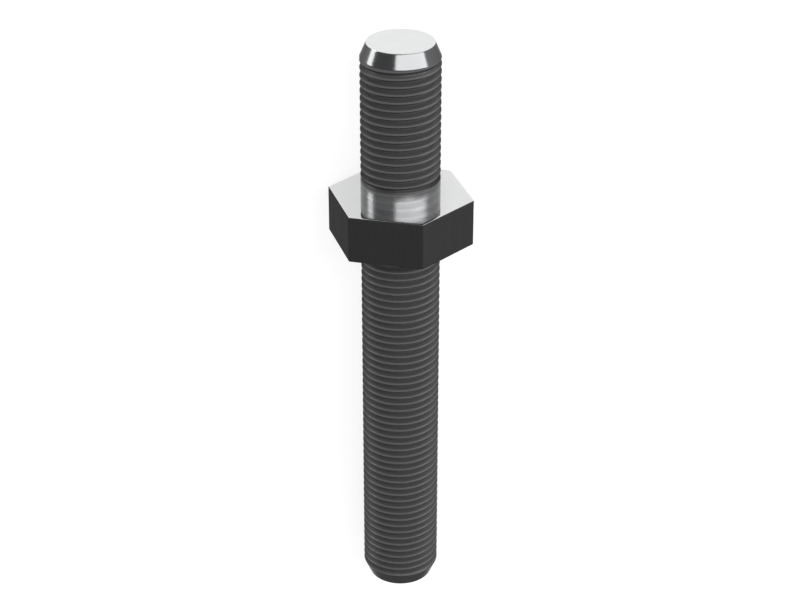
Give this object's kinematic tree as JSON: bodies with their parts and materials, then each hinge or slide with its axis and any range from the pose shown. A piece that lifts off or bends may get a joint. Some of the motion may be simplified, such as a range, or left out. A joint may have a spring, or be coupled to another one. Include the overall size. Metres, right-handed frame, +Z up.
{
  "type": "stud bolt",
  "caption": "Steel stud bolt: a short and a long end with fine threads and pointed tips, either side of a hexagon collar that seats it and takes a spanner.",
  "frame": {"origin": "on the surface that the stud lies on, under the middle of its bounding box", "axes": "+Z up; the stud lies along Y with its short end towards +Y and raised about 3.6 degrees, as it rests on the long end's tip and on the collar; +X across it, towards a corner of the hexagon"},
  "size_m": [0.0184, 0.077, 0.0163],
  "materials": {
    "steel": "bare free-cutting steel: smooth turned faces and points, darker drawn flats and rolled threads"
  },
  "bodies": {
    "root": {"stud_bolt": "steel"}
  },
  "joints": []
}
